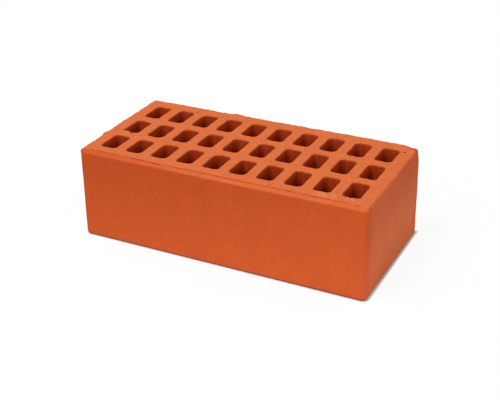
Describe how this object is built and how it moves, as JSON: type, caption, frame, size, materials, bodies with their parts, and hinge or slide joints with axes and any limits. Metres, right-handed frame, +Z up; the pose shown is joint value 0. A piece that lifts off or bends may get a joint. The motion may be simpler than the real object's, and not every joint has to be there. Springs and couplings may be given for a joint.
{
  "type": "perforated clay brick",
  "caption": "Oblong fired-clay facing brick with a grid of upright rounded slots running through it from bed to bed and softly rolled edges.",
  "frame": {"origin": "centre of the bottom bed face, the one that the brick stands on", "axes": "+X along the length, +Y across the width, +Z up through the height, the way the clay was extruded and the holes run"},
  "size_m": [0.25, 0.12, 0.078],
  "materials": {
    "fired_clay": "matt, unglazed, fired terracotta"
  },
  "bodies": {
    "root": {"brick": "fired_clay"}
  },
  "joints": []
}
